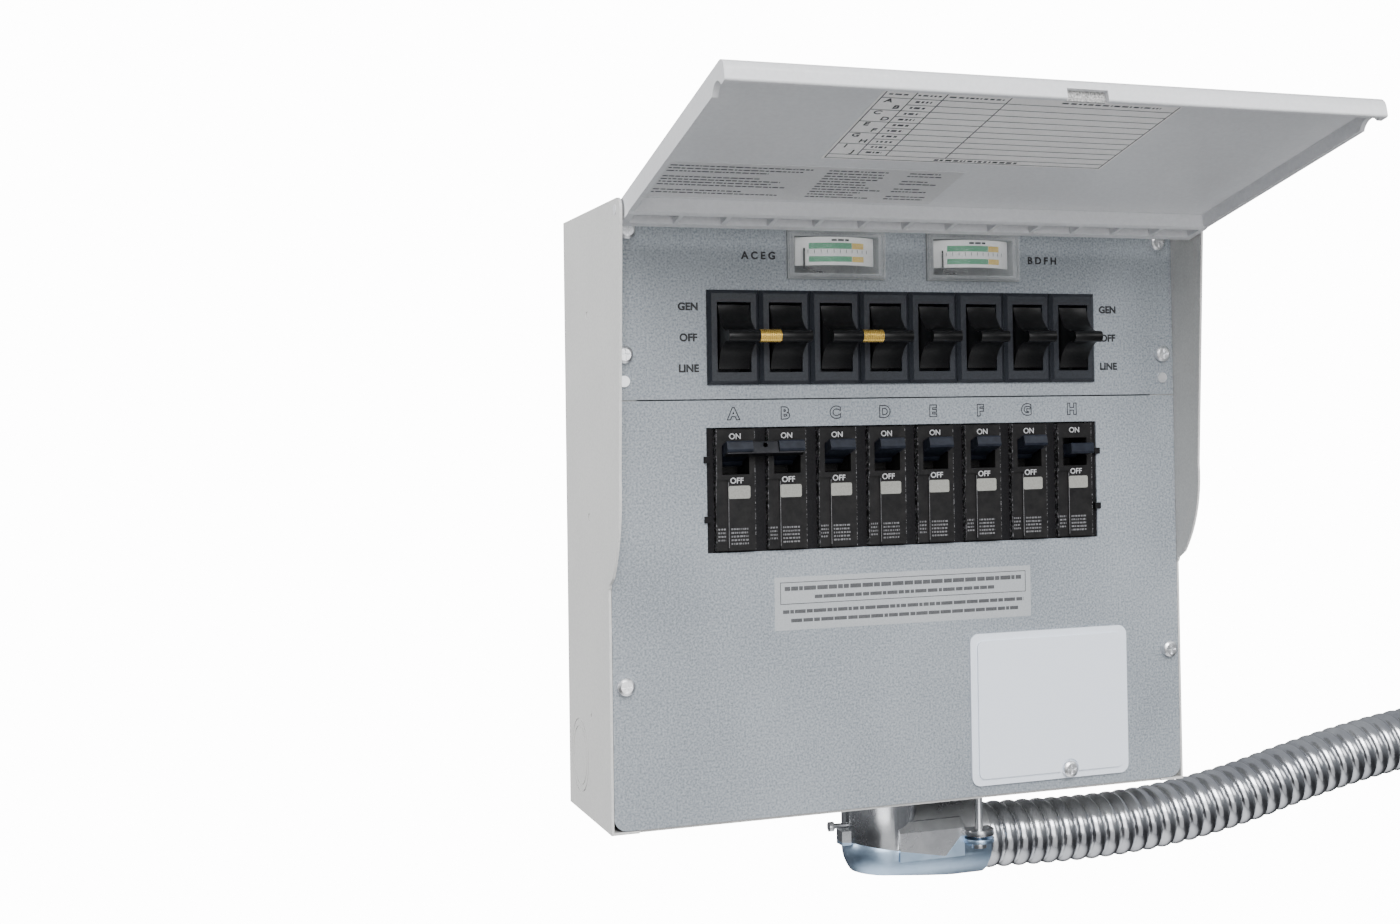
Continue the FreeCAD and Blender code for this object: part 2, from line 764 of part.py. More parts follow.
def meters():
    """Two edgewise meters: housing, curved dial, swinging needle and arched clear lens."""
    height = cell("meter_height")
    pivot_y = FACE + cell("meter_pivot_depth")
    sweep = cell("meter_sweep_radius")
    rim = FACE - 1.5
    housings, dials, lenses = [], [], []
    for name, across in meter_places():
        wide = cell("meter_half_wide")
        tall = cell("meter_half_tall")
        flange = block(between(across, wide), (rim, FACE), between(height, tall))
        case = block(between(across, wide - 2), (FACE, FACE + 30), between(height, 9.6))
        well_x = between(across, wide - 3.4)
        well = block(well_x, (rim - 1, FACE + 28.5), between(height, 8.8))
        post = rod("z", (height - 8.8, height - 7.6), (across, pivot_y), 2.5)
        housings.append(join(cut(join(flange, case), well), post))

        strip = (height - 5.2, height + 8.2)
        outer = rod("z", strip, (across, pivot_y), sweep - 1.2)
        inner = rod("z", strip, (across, pivot_y), sweep - 2.2)
        window = block(between(across, 20.0), (FACE - 12, FACE + 3), strip)
        dials.append(common(cut(outer, inner), window))

        arch = cell("meter_pivot_depth") + 10
        skin = rod("z", between(height, tall - 0.3), (across, FACE + arch), arch + 11)
        cover = block(between(across, wide - 0.4), (FACE - 14, rim), between(height, tall - 0.3))
        hollow = rod("z", between(height, tall - 1.7), (across, FACE + arch), arch + 9.4)
        inside = block(between(across, wide - 1.9), (FACE - 14, rim + 1), between(height, tall - 1.7))
        lenses.append(cut(common(skin, cover), common(hollow, inside)))

        hub = rod("z", (-7.5, -5.7), (0, 0), 2.2)
        arm = block((-0.4, 0.4), (-sweep, 0), (-6.9, -6.1))
        tip = block((-0.4, 0.4), (-sweep, 0.8 - sweep), (-6.9, 3.0))
        needle = join(hub, arm, tip)
        node(f"meter_needle_{name}", needle, (across, pivot_y, height))
        needle.Placement.Rotation = FreeCAD.Rotation(FreeCAD.Vector(0, 0, 1), -33)
    node("meter_housings", group(*housings))
    node("meter_dials", group(*dials))
    node("meter_lenses", group(*lenses))


# --- Terminal bars ---------------------------------------------------------------------------


def terminal_bar(name, across, height):
    """A drilled bar on an insulating foot, with a row of clamp screws."""
    foot = block(between(across, 30), (-6.2, -GAUGE), between(height, 7))
    bar = block(between(across, 27), (-14, -6.2), between(height, 4))
    holes = []
    for index in range(6):
        place = across + (index - 2.5) * 8.5
        holes.append(rod("z", between(height, 5), (place, -9.5), 1.8))
        holes.append(rod("y", (-15, -9.5), (place, height), 1.5))
    node(name, cut(join(foot, bar), *holes))


# --- Connector, conduit and end fitting ------------------------------------------------------

CONNECTOR_Y = -cell("connector_depth")
CONNECTOR_Z = cell("connector_height")
CONDUIT = cell("conduit_radius")
BORE = cell("conduit_bore")
THREAD = cell("thread_radius")
CLAMP_ACROSS = 43.0
CLAMP_OFFSET = 22.5
CAST_SCREW = 2.0
EAR = 7.6
SEAM_FLAT = -166.0
STOP_SCREW = -158.5


def connector():
    """A right-angle cast connector in two halves, held by three screws and a locknut."""
    across = cell("connector_across")
    outer = cell("connector_radius")
    start = cell("conduit_start")
    end = cell("connector_end")
    floor = -BOX_TALL
    post = (across, CONNECTOR_Y)
    run = (CONNECTOR_Y, CONNECTOR_Z)
    elbow = doc.addObject("Part::Sphere", "Elbow")
    bind(elbow, "Radius", outer)
    for axis, place in zip("xyz", (across, CONNECTOR_Y, CONNECTOR_Z)):
        bind(elbow, "Placement.Base." + axis, place)
    low, step, ledge, top = -176.0, SEAM_FLAT + 4, 16.5, -157.5
    skirt = [
        (CONNECTOR_Y - outer - 1.5, low),
        (CONNECTOR_Y + outer + 1.5, low),
        (CONNECTOR_Y + outer + 1.5, step),
        (CONNECTOR_Y + ledge, top),
        (CONNECTOR_Y - ledge, top),
        (CONNECTOR_Y - outer - 1.5, step),
    ]
    solids = [
        rod("z", (CONNECTOR_Z, floor), post, outer),
        rod("z", (floor, floor + 15), post, THREAD),
        rod("x", (across, end), run, outer),
        elbow,
        prism("x", (across + 3, start), skirt),
        block((across - outer - 3.5, across), between(CONNECTOR_Y - 3, 4), (SEAM_FLAT - 2, SEAM_FLAT + 5)),
    ]
    stop = (CONNECTOR_Y - 4, STOP_SCREW)
    shank = [rod("x", (across - outer - 7, across - outer + 3), stop, 1.3)]
    heads = [rod("x", (across - outer - 9.5, across - outer - 7), stop, 2.4)]
    for side in SIDES:
        place = (CLAMP_ACROSS, CONNECTOR_Y + CLAMP_OFFSET * side)
        web = sorted((CONNECTOR_Y, place[1]), key=lambda item: sized(item).value)
        for span in ((SEAM_FLAT - 3.2, SEAM_FLAT - 1.2), (SEAM_FLAT + 0.4, SEAM_FLAT + 3.2)):
            solids.append(rod("z", span, place, EAR))
            solids.append(block(between(CLAMP_ACROSS, EAR), web, span))
        shank.append(rod("z", (SEAM_FLAT - 3.2, -146.5), place, CAST_SCREW))
        heads.append(rod("z", (SEAM_FLAT - 6.2, SEAM_FLAT - 3.2), place, 3.7))
    base = [
        (-60, -178.6),
        (across, -183.4),
        (start, -188.5),
        (end + 10, -188.5),
        (end + 10, -210),
        (-60, -210),
    ]
    hollows = [
        rod("z", (CONNECTOR_Z, floor + 16), post, BORE),
        rod("x", (across, end), run, BORE),
        rod("x", (start, end + 1), run, CONDUIT),
        prism("y", between(CONNECTOR_Y, 40), base),
    ]
    casting = cut(join(*solids), *hollows, *shank)
    seam = [
        (-40, -164.6),
        (-16, -167.3),
        (25.5, -175.2),
        (34, SEAM_FLAT),
        (80, SEAM_FLAT),
        (80, -215),
        (-40, -215),
    ]
    below = prism("y", between(CONNECTOR_Y, 60), seam)
    node("connector_body", cut(casting, below))
    node("connector_cap", common(casting, below))
    node("connector_screws", group(*[join(*pair) for pair in zip(shank, heads)]))

    seat = -BOX_TALL + GAUGE
    ring = rod("z", (seat, seat + 5), post, 22.0)
    notches = [rod("z", (seat, seat + 5), post, THREAD)]
    for index in range(6):
        angle = math.radians(60 * index)
        place = (across + 22.5 * math.cos(angle), CONNECTOR_Y + 22.5 * math.sin(angle))
        notches.append(rod("z", (seat + 1.5, seat + 6), place, 2.5))
    node("connector_locknut", cut(ring, *notches))


# The conduit's route, from the stop in the connector to the stop in the end fitting.
ROUTE = [
    (36.0, -43.0, -170.4),
    (92.0, -43.0, -173.4),
    (150.0, -42.0, -173.2),
    (203.0, -40.0, -167.0),
    (255.0, -37.5, -155.6),
    (310.0, -35.5, -146.2),
    (365.0, -34.5, -141.0),
    (420.0, -34.0, -139.5),
    (472.0, -34.0, -139.5),
]


def tangent_path(points):
    """The edges of straight runs joined by tangent arcs, with the radii and the total length."""
    edges, radii = [], []
    here = points[0]
    for before, corner, after in zip(points, points[1:], points[2:]):
        into = corner - before
        out = after - corner
        half_turn = into.getAngle(out) / 2
        setback = 0.45 * min(into.Length, out.Length)
        radii.append(setback / math.tan(half_turn))
        into.normalize()
        out.normalize()
        start = corner - into * setback
        finish = corner + out * setback
        inward = (out - into).normalize()
        rise = radii[-1] * (1 / math.cos(half_turn) - 1)
        edges.append(Part.LineSegment(here, start).toShape())
        edges.append(Part.Arc(start, corner + inward * rise, finish).toShape())
        here = finish
    edges.append(Part.LineSegment(here, points[-1]).toShape())
    return edges, radii, sum(edge.Length for edge in edges)


def conduit():
    """The flexible steel conduit as a plain tube along its route."""
    points = [FreeCAD.Vector(*place) for place in ROUTE]
    edges, radii, length = tangent_path(points)
    radius = CONDUIT.value
    direction = points[1] - points[0]
    profile = Part.Wire(Part.Circle(points[0], direction, radius).toShape())
    tube = Part.Wire(edges).makePipeShell([profile], True, True)
    feature = doc.addObject("Part::Feature", "Conduit")
    feature.Shape = tube
    print("conduit radii", [round(value) for value in radii], "length", round(length, 1))
    print("conduit volume ratio", round(tube.Volume / (math.pi * radius ** 2 * length), 4))
    node("conduit", feature)


def conduit_end_fitting():
    """A straight squeeze fitting on the far end, with a threaded nipple and its locknut."""
    stop = ROUTE[-1]
    place = stop[1:]
    solids = [
        rod("x", (stop[0] - 14, stop[0] + 12), place, 21.0),
        rod("x", (stop[0] + 12, stop[0] + 17), place, 23.5),
        rod("x", (stop[0] + 17, stop[0] + 33), place, THREAD),
        block((stop[0] - 11, stop[0] + 5), between(place[0], 8), (place[1] + 15, place[1] + 26)),
    ]
    hollows = [
        rod("x", (stop[0] - 15, stop[0]), place, CONDUIT),
        rod("x", (stop[0], stop[0] + 34), place, BORE),
        rod("y", between(place[0], 10), (stop[0] - 3, place[1] + 22.3), 2.0),
    ]
    body = cut(join(*solids), *hollows)
    clamp = join(
        rod("y", between(place[0], 11), (stop[0] - 3, place[1] + 22.3), 2.0),
        rod("y", (place[0] - 11, place[0] - 8), (stop[0] - 3, place[1] + 22.3), 3.4),
    )
    node("conduit_end_fitting", group(body, clamp))


enclosure()
switch_panel()
breaker_cover()
inlet_cover_plate()
fasteners()
lid()
lid_labels()
transfer_switches()
branch_breakers()
meters()
terminal_bar("neutral_bar", -100.0, -100.0)
terminal_bar("ground_bar", -20.0, -100.0)
connector()
conduit()
conduit_end_fitting()
doc.recompute()

for item in doc.Objects:
    if "Invalid" in item.State or "Error" in item.State:
        raise RuntimeError(f"{item.Name} ({item.Label}) failed: {item.State}")
os.makedirs("parts", exist_ok=True)
for item in NODES:
    if item.Shape.isNull() or not item.Shape.isValid():
        raise RuntimeError(f"{item.Label} has no valid shape")
for item in NODES:
    item.Shape.exportStep(f"parts/{item.Label}.step")
    print(item.Label, len(item.Shape.Solids), round(item.Shape.Volume))
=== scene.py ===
import math
import random

import bmesh
import bpy
from mathutils import Matrix, Vector
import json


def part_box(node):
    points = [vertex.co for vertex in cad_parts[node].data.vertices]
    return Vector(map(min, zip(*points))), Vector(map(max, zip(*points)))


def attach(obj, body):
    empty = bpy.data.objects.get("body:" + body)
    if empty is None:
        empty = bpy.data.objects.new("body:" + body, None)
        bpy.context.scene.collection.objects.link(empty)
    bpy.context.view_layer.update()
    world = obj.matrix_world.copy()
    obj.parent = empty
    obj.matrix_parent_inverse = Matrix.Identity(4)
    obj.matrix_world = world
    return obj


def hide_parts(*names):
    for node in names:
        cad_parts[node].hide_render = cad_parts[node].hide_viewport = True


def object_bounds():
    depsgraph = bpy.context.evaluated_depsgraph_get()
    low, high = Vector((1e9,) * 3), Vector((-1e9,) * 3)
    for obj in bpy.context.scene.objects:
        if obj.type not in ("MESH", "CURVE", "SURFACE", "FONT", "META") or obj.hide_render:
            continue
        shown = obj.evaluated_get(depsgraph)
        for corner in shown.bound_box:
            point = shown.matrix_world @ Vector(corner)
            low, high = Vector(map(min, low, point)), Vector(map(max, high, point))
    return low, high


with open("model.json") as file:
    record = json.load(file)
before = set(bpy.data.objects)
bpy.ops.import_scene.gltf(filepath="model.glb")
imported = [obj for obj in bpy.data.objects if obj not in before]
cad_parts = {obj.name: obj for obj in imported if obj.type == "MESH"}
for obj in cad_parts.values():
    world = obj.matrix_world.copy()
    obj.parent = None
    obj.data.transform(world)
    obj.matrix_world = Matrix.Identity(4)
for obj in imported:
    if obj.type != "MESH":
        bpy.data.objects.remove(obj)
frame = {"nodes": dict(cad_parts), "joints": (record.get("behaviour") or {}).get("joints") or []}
CAD_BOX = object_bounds()
NODES = frame["nodes"]
LETTERS = "abcdefgh"
ROOT = "box"
MM = 0.001
# How far printing stands off the surface it is on.
PRINT_LIFT = 0.03 * MM
JOINTS = {joint["name"]: joint for joint in frame["joints"]}


def mid(node):
    """The middle of a CAD node's box."""
    low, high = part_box(node)
    return (low + high) / 2


# --- Camera, lights and floor ----------------------------------------------------------------


def make_camera():
    """The fitted camera: to the left of the box and turned to it, with a shifted lens."""
    data = bpy.data.cameras.new("camera")
    data.lens = 47.51
    data.sensor_width = 36.0
    data.shift_x = -0.132
    data.shift_y = -0.0586
    camera = bpy.data.objects.new("camera", data)
    camera.location = (-0.3477, -0.9121, 0.0434)
    camera.rotation_euler = [math.radians(angle) for angle in (91.203, 0.922, -22.074)]
    bpy.context.scene.collection.objects.link(camera)
    bpy.context.scene.camera = camera


def area_light(name, place, target, size, power):
    """A square soft light aimed at a point."""
    data = bpy.data.lights.new(name, "AREA")
    data.size = size
    data.energy = power
    lamp = bpy.data.objects.new(name, data)
    lamp.location = place
    aim = Vector(target) - Vector(place)
    lamp.rotation_euler = aim.to_track_quat("-Z", "Y").to_euler()
    bpy.context.scene.collection.objects.link(lamp)


# Each light's name, place, size and power.
LIGHTS = (
    ("key_light", (-0.3, -2.2, 1.4), 1.3, 84),
    ("front_light", (-0.4, -2.7, 0.2), 1.7, 36),
    ("side_light", (-2.2, 0.45, 0.5), 1.0, 64),
    ("fill_light", (1.7, -1.7, 1.1), 1.0, 16),
    ("low_card", (0.1, -1.2, -0.75), 1.0, 2.6),
)
BACKDROP_STRENGTH = 14.0
FLOOR_RADIUS = 1.2
FLOOR_DROP = 0.9
FLOOR_FADE = (0.3, 1.1)


def make_lights():
    """Soft boxes in front, above and to the left, with a weak fill from the right and below."""
    middle = mid("enclosure")
    for name, place, size, power in LIGHTS:
        area_light(name, place, middle, size, power)


def make_surround():
    """White where the camera sees it; for lighting, dim below and brighter above."""
    world = bpy.data.worlds.new("surround")
    bpy.context.scene.world = world
    world.use_nodes = True
    nodes = world.node_tree.nodes
    links = world.node_tree.links
    seen = nodes.new("ShaderNodeBackground")
    seen.inputs["Color"].default_value = (1, 1, 1, 1)
    seen.inputs["Strength"].default_value = BACKDROP_STRENGTH
    lighting = nodes["Background"]
    lighting.inputs["Strength"].default_value = 1.0
    place = nodes.new("ShaderNodeTexCoord")
    split = nodes.new("ShaderNodeSeparateXYZ")
    height = nodes.new("ShaderNodeMapRange")
    height.inputs["From Min"].default_value = -1.0
    height.inputs["From Max"].default_value = 1.0
    ramp = nodes.new("ShaderNodeValToRGB")
    ramp.color_ramp.elements[0].position = 0.3
    ramp.color_ramp.elements[0].color = (0.05, 0.052, 0.056, 1)
    ramp.color_ramp.elements[1].position = 0.8
    ramp.color_ramp.elements[1].color = (0.52, 0.54, 0.57, 1)
    links.new(place.outputs["Generated"], split.inputs["Vector"])
    links.new(split.outputs["Z"], height.inputs["Value"])
    links.new(height.outputs["Result"], ramp.inputs["Fac"])
    links.new(ramp.outputs["Color"], lighting.inputs["Color"])
    path = nodes.new("ShaderNodeLightPath")
    mix = nodes.new("ShaderNodeMixShader")
    links.new(path.outputs["Is Camera Ray"], mix.inputs[0])
    links.new(lighting.outputs[0], mix.inputs[1])
    links.new(seen.outputs[0], mix.inputs[2])
    links.new(mix.outputs[0], nodes["World Output"].inputs["Surface"])


def make_floor():
    """A pale disc under the part that fades out towards its rim."""
    made = bmesh.new()
    bmesh.ops.create_circle(made, cap_ends=True, segments=96, radius=FLOOR_RADIUS)
    floor = bpy.data.objects.new("floor", finish_mesh(made, "floor"))
    floor.location = (0, 0, CAD_BOX[0].z - FLOOR_DROP)
    bpy.context.scene.collection.objects.link(floor)
    paint = Paint("floor_white", roughness=0.9)
    paint.colours(paint.noise(3.0, 2), (0.90, 0.90, 0.90), (0.94, 0.94, 0.94))
    distance = paint.nodes.new("ShaderNodeVectorMath")
    distance.operation = "LENGTH"
    paint.links.new(paint.place, distance.inputs[0])
    fade = paint.nodes.new("ShaderNodeMapRange")
    fade.interpolation_type = "SMOOTHSTEP"
    fade.inputs["From Min"].default_value = FLOOR_FADE[0]
    fade.inputs["From Max"].default_value = FLOOR_FADE[1]
    fade.inputs["To Min"].default_value = 1.0
    fade.inputs["To Max"].default_value = 0.0
    paint.links.new(distance.outputs["Value"], fade.inputs["Value"])
    paint.links.new(fade.outputs["Result"], paint.shader.inputs["Alpha"])
    assign(floor, paint)


# --- Materials -------------------------------------------------------------------------------


class Paint:
    """A Principled material with helpers for noise, colour ramps and bump."""

    def __init__(self, name, roughness=0.5, **constants):
        self.material = bpy.data.materials.new(name)
        self.material.use_nodes = True
        self.nodes = self.material.node_tree.nodes
        self.links = self.material.node_tree.links
        self.shader = self.nodes["Principled BSDF"]
        self.shader.inputs["Roughness"].default_value = roughness
        for socket, value in constants.items():
            self.shader.inputs[socket.replace("_", " ")].default_value = value
        self.place = self.nodes.new("ShaderNodeTexCoord").outputs["Object"]

    def noise(self, scale, detail=3.0, rough=0.55):
        """Noise over the object; the scale is in features per metre."""
        node = self.nodes.new("ShaderNodeTexNoise")
        node.inputs["Scale"].default_value = scale
        node.inputs["Detail"].default_value = detail
        node.inputs["Roughness"].default_value = rough
        self.links.new(self.place, node.inputs["Vector"])
        return node.outputs["Fac"]

    def axis(self, name):
        """One coordinate of the point being shaded, in metres."""
        node = self.nodes.new("ShaderNodeSeparateXYZ")
        self.links.new(self.place, node.inputs["Vector"])
        return node.outputs[name]

    def sums(self, kind, first, second=0.0):
        """A Math node; each input is a socket or a number."""
        node = self.nodes.new("ShaderNodeMath")
        node.operation = kind
        for socket, value in zip(node.inputs, (first, second)):
            if isinstance(value, (int, float)):
                socket.default_value = value
            else:
                self.links.new(value, socket)
        return node.outputs[0]

    def ramp(self, factor, low, high, start=0.3, end=0.7):
        """Two colours mixed by a factor, from start to end."""
        node = self.nodes.new("ShaderNodeValToRGB")
        node.color_ramp.elements[0].position = start
        node.color_ramp.elements[0].color = (*low, 1)
        node.color_ramp.elements[1].position = end
        node.color_ramp.elements[1].color = (*high, 1)
        self.links.new(factor, node.inputs["Fac"])
        return node.outputs["Color"]

    def blend(self, factor, first, second):
        """Two colour sockets mixed by a factor socket."""
        node = self.nodes.new("ShaderNodeMix")
        node.data_type = "RGBA"
        self.links.new(factor, node.inputs["Factor"])
        self.links.new(first, node.inputs[6])
        self.links.new(second, node.inputs[7])
        return node.outputs[2]

    def colour(self, socket):
        """Use a socket as the base colour."""
        self.links.new(socket, self.shader.inputs["Base Color"])

    def colours(self, factor, low, high, start=0.3, end=0.7):
        """Use a ramp between two colours as the base colour."""
        self.colour(self.ramp(factor, low, high, start, end))

    def gloss(self, factor, low, high):
        """Vary roughness between two values."""
        node = self.nodes.new("ShaderNodeMapRange")
        node.inputs["To Min"].default_value = low
        node.inputs["To Max"].default_value = high
        self.links.new(factor, node.inputs["Value"])
        self.links.new(node.outputs["Result"], self.shader.inputs["Roughness"])

    def bump(self, factor, depth):
        """Bump of a depth in metres."""
        node = self.nodes.new("ShaderNodeBump")
        node.inputs["Distance"].default_value = depth
        node.inputs["Strength"].default_value = 1.0
        self.links.new(factor, node.inputs["Height"])
        self.links.new(node.outputs["Normal"], self.shader.inputs["Normal"])


def assign(target, paint):
    """Give an object, or a CAD node by name, one material."""
    item = NODES[target] if isinstance(target, str) else target
    item.data.materials.clear()
    item.data.materials.append(paint.material)


def speckled(name, low, high, roughness, grain=1400.0, depth=0.00004, **constants):
    """Powder coat or moulded plastic: fine mottling with a matching orange-peel bump."""
    paint = Paint(name, roughness=roughness, **constants)
    grain_noise = paint.noise(grain, 2.5, 0.6)
    broad = paint.noise(14.0, 2.0)
    fine_share = paint.sums("MULTIPLY", grain_noise, 0.8)
    broad_share = paint.sums("MULTIPLY", broad, 0.2)
    mixed = paint.sums("ADD", fine_share, broad_share)
    paint.colours(mixed, low, high, 0.36, 0.64)
    paint.gloss(broad, roughness - 0.06, roughness + 0.06)
    paint.bump(grain_noise, depth)
    return paint


def metal(name, low, high, roughness, grain=300.0, depth=0.00003):
    """Bare, plated or cast metal with a fine grain."""
    paint = Paint(name, roughness=roughness, Metallic=1.0)
    grain_noise = paint.noise(grain, 4.0, 0.6)
    cloud = paint.noise(60.0, 3.0)
    paint.colours(cloud, low, high)
    paint.gloss(grain_noise, roughness - 0.1, roughness + 0.12)
    paint.bump(grain_noise, depth)
    return paint


# The band of a breaker's front, measured from its middle, that is scuffed.
SCUFF_BAND = (9.15 * MM, 9.7 * MM)


def breaker_plastic():
    """Charcoal moulding with scuffed, paler edges beside each gap of the row."""
    paint = Paint("breaker_charcoal", roughness=0.5, Specular_IOR_Level=0.15)
    low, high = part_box("breaker_d")
    centre_d = (low.x + high.x) / 2
    pitch = mid("breaker_e").x - mid("breaker_d").x
    shifted = paint.sums("SUBTRACT", paint.axis("X"), centre_d)
    nearest = paint.sums("WRAP", paint.sums("DIVIDE", shifted, pitch), 0.5)
    nearest.node.inputs[2].default_value = -0.5
    offset = paint.sums("ABSOLUTE", paint.sums("MULTIPLY", nearest, pitch))
    corner = paint.sums("GREATER_THAN", offset, SCUFF_BAND[0])
    edge = paint.sums("MULTIPLY", corner, paint.sums("LESS_THAN", offset, SCUFF_BAND[1]))
    scuff = paint.sums("GREATER_THAN", paint.noise(700.0, 5.0, 0.75), 0.53)
    worn = paint.sums("MULTIPLY", edge, scuff)
    body = paint.ramp(paint.noise(180.0, 5.0, 0.7), (0.005, 0.005, 0.0055), (0.015, 0.0145, 0.0145))
    chalk = paint.ramp(paint.noise(900.0, 4.0), (0.03, 0.03, 0.032), (0.22, 0.22, 0.23))
    paint.colour(paint.blend(worn, body, chalk))
    paint.gloss(paint.noise(240.0), 0.38, 0.62)
    paint.bump(paint.noise(1500.0, 3.0), 0.00003)
    return paint


def clear_cover():
    """Clear moulded acrylic: see-through, with gloss, and painted shade at its edges: darker and
    less clear where it turns away from the view, standing in for the dark refraction at its rim.
    """
    paint = Paint("clear_cover", roughness=0.04, IOR=1.49, Specular_IOR_Level=1.0)
    facing = paint.nodes.new("ShaderNodeLayerWeight")
    facing.inputs["Blend"].default_value = 0.2
    # Painted shade: the colour goes from pale where the cover faces the view to near black where it
    # turns edge-on.
    paint.colours(facing.outputs["Facing"], (0.86, 0.90, 0.93), (0.10, 0.11, 0.12), 0.3, 0.9)
    paint.gloss(paint.noise(90.0), 0.03, 0.08)
    opacity = paint.nodes.new("ShaderNodeMapRange")
    opacity.inputs["To Min"].default_value = 0.05
    opacity.inputs["To Max"].default_value = 0.75
    paint.links.new(facing.outputs["Facing"], opacity.inputs["Value"])
    paint.links.new(opacity.outputs["Result"], paint.shader.inputs["Alpha"])
    return paint


def brass():
    """Turned brass with fine rings round the sleeve."""
    paint = Paint("turned_brass", roughness=0.22, Metallic=1.0)
    rings = paint.sums("SINE", paint.sums("MULTIPLY", paint.axis("X"), 2 * math.pi / (0.9 * MM)))
    paint.colours(rings, (0.74, 0.46, 0.09), (0.93, 0.67, 0.20), 0.2, 0.9)
    paint.gloss(paint.noise(300.0), 0.2, 0.34)
    paint.bump(rings, 0.000008)
    return paint


def conduit_steel():
    """Bright galvanised strip, with faint cloudy spangle and fine scratches."""
    paint = Paint("conduit_strip", roughness=0.24, Metallic=1.0)
    scratches = paint.noise(2600.0, 2.0, 0.5)
    cloud = paint.noise(55.0, 3.0, 0.6)
    paint.colours(cloud, (0.40, 0.41, 0.44), (0.60, 0.61, 0.63))
    paint.gloss(cloud, 0.16, 0.28)
    paint.bump(scratches, 0.000008)
    return paint


# --- Mesh helpers ----------------------------------------------------------------------------

# The height of a capital as a share of the font's size.
CAPITAL_SHARE = 0.72
OUTLINE_BEVEL = 0.23 * MM


def finish_mesh(made, name, outward=False):
    """A mesh from a bmesh, which is freed; outward first turns its faces to point out."""
    if outward:
        bmesh.ops.recalc_face_normals(made, faces=made.faces)
    mesh = bpy.data.meshes.new(name)
    made.to_mesh(mesh)
    made.free()
    return mesh


def close_tube(made, rings):
    """Faces between rings of points that follow each other, and a cap at both ends."""
    for near, far in zip(rings, rings[1:]):
        for index in range(len(near)):
            after = (index + 1) % len(near)
            made.faces.new((near[index], near[after], far[after], far[index]))
    made.faces.new(reversed(rings[0]))
    made.faces.new(rings[-1])


def add_piece(name, mesh, paint, body=ROOT, matrix=None, smooth=False):
    """Link a mesh as a piece that rides on a body."""
    item = bpy.data.objects.new(name, mesh)
    bpy.context.scene.collection.objects.link(item)
    if matrix is not None:
        mesh.transform(matrix)
    assign(item, paint)
    if smooth:
        mesh.polygons.foreach_set("use_smooth", [True] * len(mesh.polygons))
    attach(item, body)
    return item


def slabs(name, spans, paint, body=ROOT, matrix=None):
    """One piece made of thin closed boxes; each span is ((x, x), (y, y), (z, z))."""
    made = bmesh.new()
    for xs, ys, zs in spans:
        centre = Vector((sum(xs) / 2, sum(ys) / 2, sum(zs) / 2))
        scale = Matrix.Diagonal((xs[1] - xs[0], ys[1] - ys[0], zs[1] - zs[0], 1))
        bmesh.ops.create_cube(made, size=1.0, matrix=Matrix.Translation(centre) @ scale)
    return add_piece(name, finish_mesh(made, name), paint, body, matrix)


def word_marks(rng, start, end, longest, gap):
    """Dashes of uneven length along a line, in place of words."""
    place = start
    while place < end:
        width = rng.uniform(0.25, 1.0) * longest
        yield place, min(place + width, end)
        place += width + rng.uniform(0.8, 1.3) * gap


def lettering(name, words, matrix, size, paint, weight=0.12 * MM, outline=False, body=ROOT):
    """Lettering centred at a matrix; size is a capital's height, weight makes it bolder."""
    data = bpy.data.curves.new(name, "FONT")
    data.body = words
    data.size = size / CAPITAL_SHARE
    data.align_x = "CENTER"
    data.align_y = "CENTER"
    if outline:
        data.fill_mode = "NONE"
        data.offset = weight
        data.bevel_depth = OUTLINE_BEVEL
    else:
        data.extrude = PRINT_LIFT
        data.bevel_depth = weight
    data.bevel_resolution = 0
    item = bpy.data.objects.new(name, data)
    bpy.context.scene.collection.objects.link(item)
    item.matrix_world = matrix
    item.data.materials.append(paint.material)
    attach(item, body)
    return item


def legend(name, words, place, size, paint, **style):
    """Upright lettering on the front, centred on a place."""
    matrix = Matrix.Translation(place) @ Matrix.Rotation(math.pi / 2, 4, "X")
    return lettering(name, words, matrix, size, paint, **style)


def soften(node, width, angle=35.0):
    """Round a CAD node's edges a little, with modifiers only."""
    item = NODES[node]
    weld = item.modifiers.new("weld", "WELD")
    weld.merge_threshold = 0.00001
    bevel = item.modifiers.new("bevel", "BEVEL")
    bevel.width = width
    bevel.segments = 2
    bevel.limit_method = "ANGLE"
    bevel.angle_limit = math.radians(angle)
    bevel.use_clamp_overlap = True


# --- Conduit ---------------------------------------------------------------------------------

# The same route as the plain tube, in metres.
ROUTE = [
    (0.036, -0.043, -0.1704),
    (0.092, -0.043, -0.1734),
    (0.150, -0.042, -0.1732),
    (0.203, -0.040, -0.1670),
    (0.255, -0.0375, -0.1556),
    (0.310, -0.0355, -0.1462),
    (0.365, -0.0345, -0.1410),
    (0.420, -0.034, -0.1395),
    (0.472, -0.034, -0.1395),
]
RIB_PITCH = 8.45 * MM
RIB_DEPTH = 2.3 * MM
CONDUIT_RADIUS = 16.75 * MM
CONDUIT_SIDES = 56
RINGS_PER_RIB = 16
# A rib takes this share of a turn and the groove the rest. At its edges the rib, and from
# there the groove, lie these shares of RIB_DEPTH deep.
RIB_SHARE = 0.8
RIB_FALL = 0.45
GROOVE_FALL = 0.55


def smooth_path(route, steps):
    """Points along the NURBS spline that has the route as its control points."""
    data = bpy.data.curves.new("route", "CURVE")
    data.dimensions = "3D"
    spline = data.splines.new("NURBS")
    spline.points.add(len(route) - 1)
    for point, place in zip(spline.points, route):
        point.co = (*place, 1)
    spline.order_u = 3
    spline.use_endpoint_u = True
    spline.resolution_u = steps
    item = bpy.data.objects.new("route", data)
    bpy.context.scene.collection.objects.link(item)
    bpy.context.view_layer.update()
    mesh = bpy.data.meshes.new_from_object(item)
    path = [vertex.co.copy() for vertex in mesh.vertices]
    bpy.data.meshes.remove(mesh)
    bpy.data.objects.remove(item)
    return path


